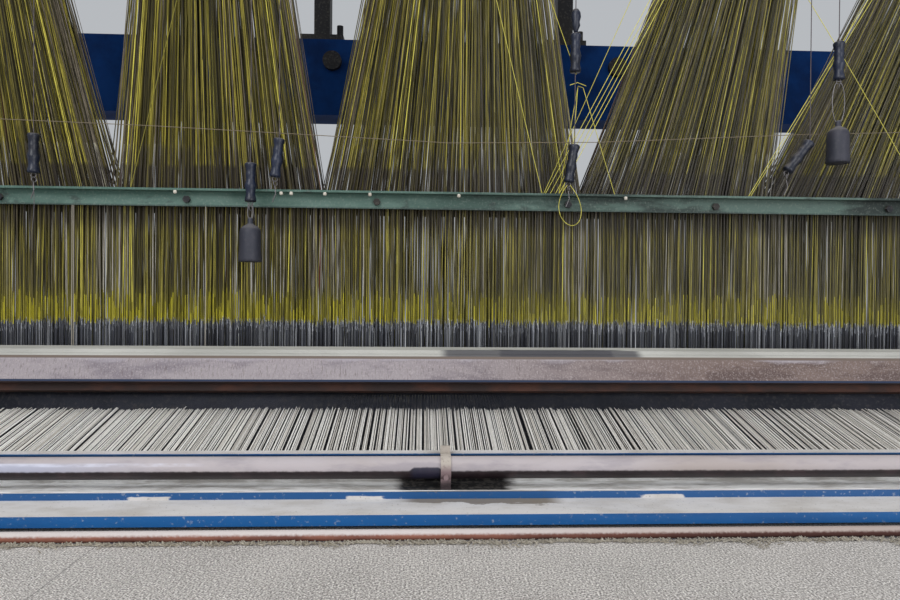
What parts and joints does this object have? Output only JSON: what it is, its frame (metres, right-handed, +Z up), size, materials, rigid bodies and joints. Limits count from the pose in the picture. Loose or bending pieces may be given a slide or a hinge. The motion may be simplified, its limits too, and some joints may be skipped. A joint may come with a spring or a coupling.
{
  "type": "power loom",
  "caption": "Wide jacquard power loom with cloth, warp shed, rocking sley and reed, harness cords, shuttle gear and overhead heads on a gantry.",
  "frame": {"origin": "centre of the footprint on the floor", "axes": "+X to the weaver's right, +Y from the weaver to the warp beam, +Z up"},
  "size_m": [3.68, 1.7349, 3.19],
  "materials": {
    "blue_paint": "dusty blue enamel",
    "green_paint": "dusty green enamel",
    "dark_green_paint": "machine green enamel",
    "cast_iron": "dark cast iron",
    "worn_steel": "worn bright steel",
    "rusty_steel": "rusty steel bar under dust",
    "maroon_paint": "dusty maroon enamel",
    "cap_metal": "dusty worn cap",
    "reed_steel": "dark reed wire",
    "cloth_fabric": "grey woven cloth",
    "warp_yarn": "pale warp yarn",
    "harness_cord": "olive and yellow harness cord",
    "board_wood": "bare board",
    "sley_wood": "oiled wood",
    "race_wood": "polished wood",
    "picker_leather": "rawhide",
    "motor_paint": "grey enamel",
    "black_plastic": "black grip"
  },
  "bodies": {
    "frame": {"side_frame_left": "blue_paint", "side_frame_right": "blue_paint", "girts": "blue_paint", "breast_beam": "blue_paint", "rail_brackets": "cast_iron", "temple_rail": "blue_paint", "press_bar": "rusty_steel", "shaft_straps": "worn_steel", "cloth": "cloth_fabric", "warp": "warp_yarn", "lease_rods": "worn_steel", "comber_board": "board_wood", "comber_rails": "green_paint", "comber_hangers": "blue_paint", "rail_bolts": "cast_iron", "harness_fans": "harness_cord", "gantry_left": "blue_paint", "gantry_right": "blue_paint", "cross_beam_front": "blue_paint", "cross_beam_rear": "blue_paint", "low_beam": "blue_paint", "beam_fittings": "cast_iron", "head_left": "dark_green_paint", "head_centre": "dark_green_paint", "head_right": "dark_green_paint", "cam_boxes": "dark_green_paint", "motor": "motor_paint"},
    "sley": {"sley_beam": "sley_wood", "race_board": "race_wood", "sley_swords": "cast_iron", "rock_shaft": "worn_steel", "reed": "reed_steel", "reed_cap": "cap_metal", "shuttle_boxes": "cast_iron"},
    "picker_l": {"picker_left": "picker_leather"},
    "picker_r": {"picker_right": "picker_leather"},
    "stick_l": {"stick_left": "race_wood"},
    "stick_r": {"stick_right": "race_wood"},
    "shuttle": {"shuttle": "race_wood"},
    "starter": {"start_shaft": "maroon_paint"},
    "take_up": {"take_up_roller": "worn_steel"},
    "press": {"press_roller": "worn_steel"},
    "cloth_roll": {"cloth_roll": "cloth_fabric"},
    "warp_beam": {"warp_beam": "warp_yarn"},
    "let_off": {"let_off_pinion": "worn_steel"},
    "back_rest": {"back_rest": "worn_steel"},
    "main": {"main_shaft": "worn_steel", "main_gear": "cast_iron"},
    "motor_rotor": {"motor_pinion": "worn_steel"},
    "lift_a": {"griffe_a": "worn_steel", "harness_a": "harness_cord"},
    "lift_b": {"griffe_b": "worn_steel", "harness_b": "harness_cord"},
    "hang_1": {"hanger_1": "black_plastic"},
    "hang_2": {"hanger_2": "black_plastic"},
    "hang_3": {"hanger_3": "black_plastic"},
    "hang_4": {"hanger_4": "black_plastic"},
    "hang_5": {"hanger_5": "black_plastic"},
    "hang_6": {"hanger_6": "black_plastic"}
  },
  "joints": [
    {"name": "sley_rock", "type": "hinge", "parent": "frame", "child": "sley", "pos_m": [0, -0.425, 0.12], "axis": [1, 0, 0], "range_deg": [0, 16.5]},
    {"name": "stick_left_swing", "type": "hinge", "parent": "sley", "child": "stick_l", "pos_m": [-1.794, -0.48636, 0.13818], "axis": [0, 0.9588, -0.284], "range_deg": [0, 9.2]},
    {"name": "stick_right_swing", "type": "hinge", "parent": "sley", "child": "stick_r", "pos_m": [1.794, -0.48636, 0.13818], "axis": [0, -0.9588, 0.284], "range_deg": [0, 9.2]},
    {"name": "picker_left_slide", "type": "slide", "parent": "sley", "child": "picker_l", "axis": [1, 0, 0], "range_m": [0, 0.13]},
    {"name": "picker_right_slide", "type": "slide", "parent": "sley", "child": "picker_r", "axis": [-1, 0, 0], "range_m": [0, 0.13]},
    {"name": "shuttle_flight", "type": "slide", "parent": "sley", "child": "shuttle", "axis": [1, 0, 0], "range_m": [0, 2.894]},
    {"name": "start_turn", "type": "hinge", "parent": "frame", "child": "starter", "pos_m": [0, -0.492, 0.9475], "axis": [1, 0, 0], "range_deg": [-20, 0]},
    {"name": "take_up_turn", "type": "hinge", "parent": "frame", "child": "take_up", "pos_m": [0, -0.755, 0.64], "axis": [1, 0, 0], "continuous": true},
    {"name": "press_turn", "type": "hinge", "parent": "frame", "child": "press", "pos_m": [0, -0.84599, 0.59757], "axis": [1, 0, 0], "continuous": true},
    {"name": "cloth_roll_turn", "type": "hinge", "parent": "frame", "child": "cloth_roll", "pos_m": [0, -0.66, 0.33], "axis": [1, 0, 0], "continuous": true},
    {"name": "warp_beam_turn", "type": "hinge", "parent": "frame", "child": "warp_beam", "pos_m": [0, 0.555, 0.43], "axis": [1, 0, 0], "continuous": true},
    {"name": "let_off_turn", "type": "hinge", "parent": "frame", "child": "let_off", "pos_m": [0, 0.41499, 0.57001], "axis": [1, 0, 0], "continuous": true},
    {"name": "back_rest_swing", "type": "hinge", "parent": "frame", "child": "back_rest", "pos_m": [0, 0.637, 0.78], "axis": [1, 0, 0], "range_deg": [0, 6], "stiffness_Nm_per_rad": 2500, "springref_deg": -4.58},
    {"name": "main_turn", "type": "hinge", "parent": "frame", "child": "main", "pos_m": [0, 0.055, 0.52], "axis": [1, 0, 0], "continuous": true},
    {"name": "motor_turn", "type": "hinge", "parent": "frame", "child": "motor_rotor", "pos_m": [0, 0.20413, 0.34228], "axis": [1, 0, 0], "continuous": true},
    {"name": "lift_a_slide", "type": "slide", "parent": "frame", "child": "lift_a", "axis": [0, 0, 1], "range_m": [-0.09, 0]},
    {"name": "lift_b_slide", "type": "slide", "parent": "frame", "child": "lift_b", "axis": [0, 0, 1], "range_m": [0, 0.09]},
    {"name": "hanger_1_swing", "type": "hinge", "parent": "frame", "child": "hang_1", "pos_m": [-0.752, -0.107, 2.4497], "axis": [1, 0, 0], "range_deg": [-8, 0]},
    {"name": "hanger_2_swing", "type": "hinge", "parent": "frame", "child": "hang_2", "pos_m": [-0.369, -0.107, 2.4497], "axis": [1, 0, 0], "range_deg": [-8, 0]},
    {"name": "hanger_3_swing", "type": "hinge", "parent": "frame", "child": "hang_3", "pos_m": [-0.318, -0.107, 2.4497], "axis": [1, 0, 0], "range_deg": [-8, 0]},
    {"name": "hanger_4_swing", "type": "hinge", "parent": "frame", "child": "hang_4", "pos_m": [0.222, -0.107, 2.4497], "axis": [1, 0, 0], "range_deg": [-8, 0]},
    {"name": "hanger_5_swing", "type": "hinge", "parent": "frame", "child": "hang_5", "pos_m": [0.721, -0.107, 2.4497], "axis": [1, 0, 0], "range_deg": [-8, 0]},
    {"name": "hanger_6_swing", "type": "hinge", "parent": "frame", "child": "hang_6", "pos_m": [0.667, -0.107, 2.4497], "axis": [1, 0, 0], "range_deg": [-8, 0]}
  ],
  "couplings": [
    {"joint": "picker_left_slide", "follows": "stick_left_swing", "m_per_rad": 0.809},
    {"joint": "picker_right_slide", "follows": "stick_right_swing", "m_per_rad": 0.809},
    {"joint": "press_turn", "follows": "take_up_turn", "ratio": -2.5},
    {"joint": "cloth_roll_turn", "follows": "take_up_turn", "ratio": -0.5},
    {"joint": "let_off_turn", "follows": "warp_beam_turn", "ratio": -3.125},
    {"joint": "motor_turn", "follows": "main_turn", "ratio": -4.8},
    {"joint": "lift_b_slide", "follows": "lift_a_slide", "ratio": -1}
  ]
}
